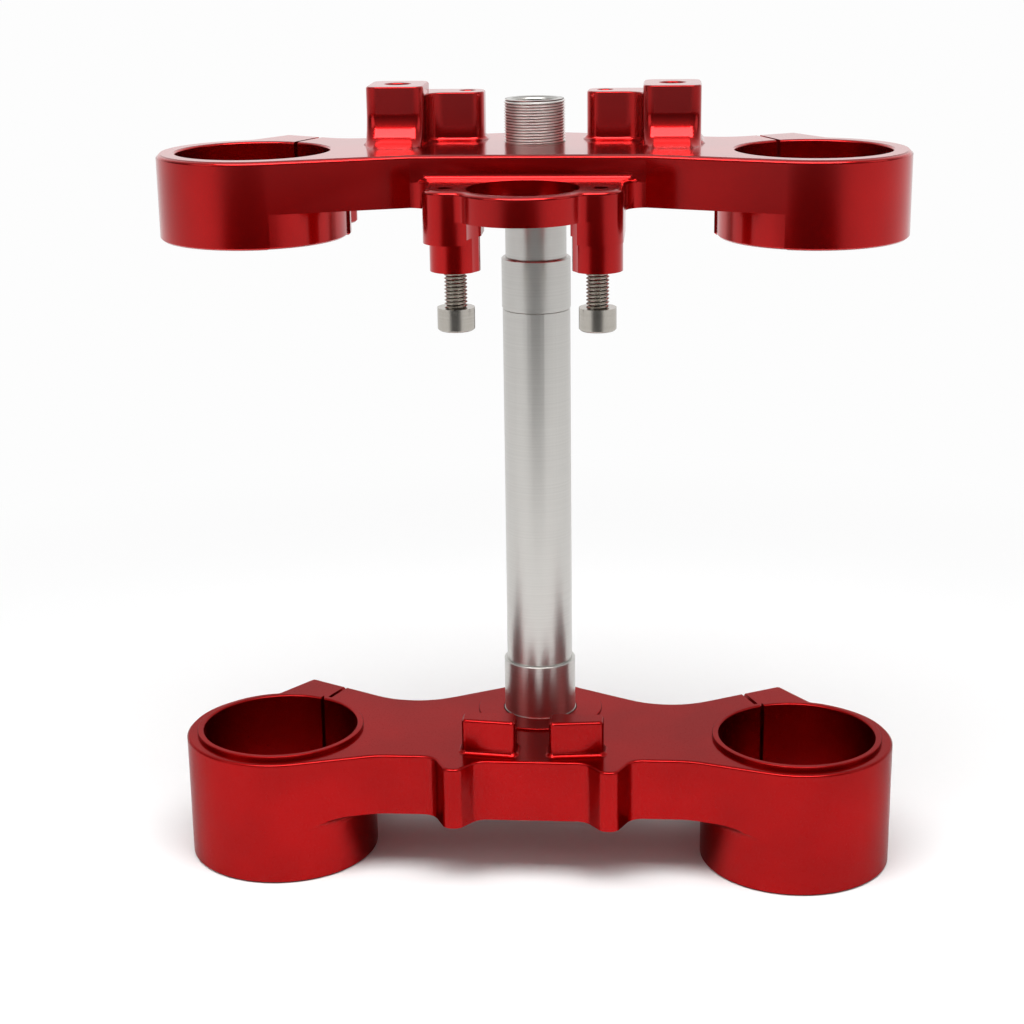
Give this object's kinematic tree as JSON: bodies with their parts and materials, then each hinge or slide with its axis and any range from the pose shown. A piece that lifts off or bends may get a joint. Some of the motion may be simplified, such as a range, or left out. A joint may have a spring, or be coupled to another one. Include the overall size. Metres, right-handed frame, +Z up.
{
  "type": "motorcycle triple clamp",
  "caption": "Red anodised upper and lower fork clamps joined by a hollow steering stem, with handlebar towers, lock ring, steering stops and pinch bolts.",
  "frame": {"origin": "on the steering stem's axis, at the land on the lower clamp that the lower bearing sits on", "axes": "+Z up along the stem, +X to the right across the forks, +Y to the rear, so the forks and the lock ring are on the -Y side"},
  "size_m": [0.2672, 0.116, 0.2878],
  "materials": {
    "upper_anodised": "gloss red anodised, machined",
    "lower_anodised": "satin red anodised, machined",
    "stem_alloy": "bare, satin turned",
    "stainless": "plain machined screw"
  },
  "bodies": {
    "root": {"upper_clamp": "upper_anodised", "lower_clamp": "lower_anodised", "steering_stem": "stem_alloy", "lock_screw_left": "stainless", "lock_screw_right": "stainless", "lower_pinch_bolt_left_1": "stainless", "lower_pinch_bolt_left_2": "stainless", "lower_pinch_bolt_right_1": "stainless", "lower_pinch_bolt_right_2": "stainless", "upper_pinch_bolt_left": "stainless", "upper_pinch_bolt_right": "stainless"}
  },
  "joints": []
}
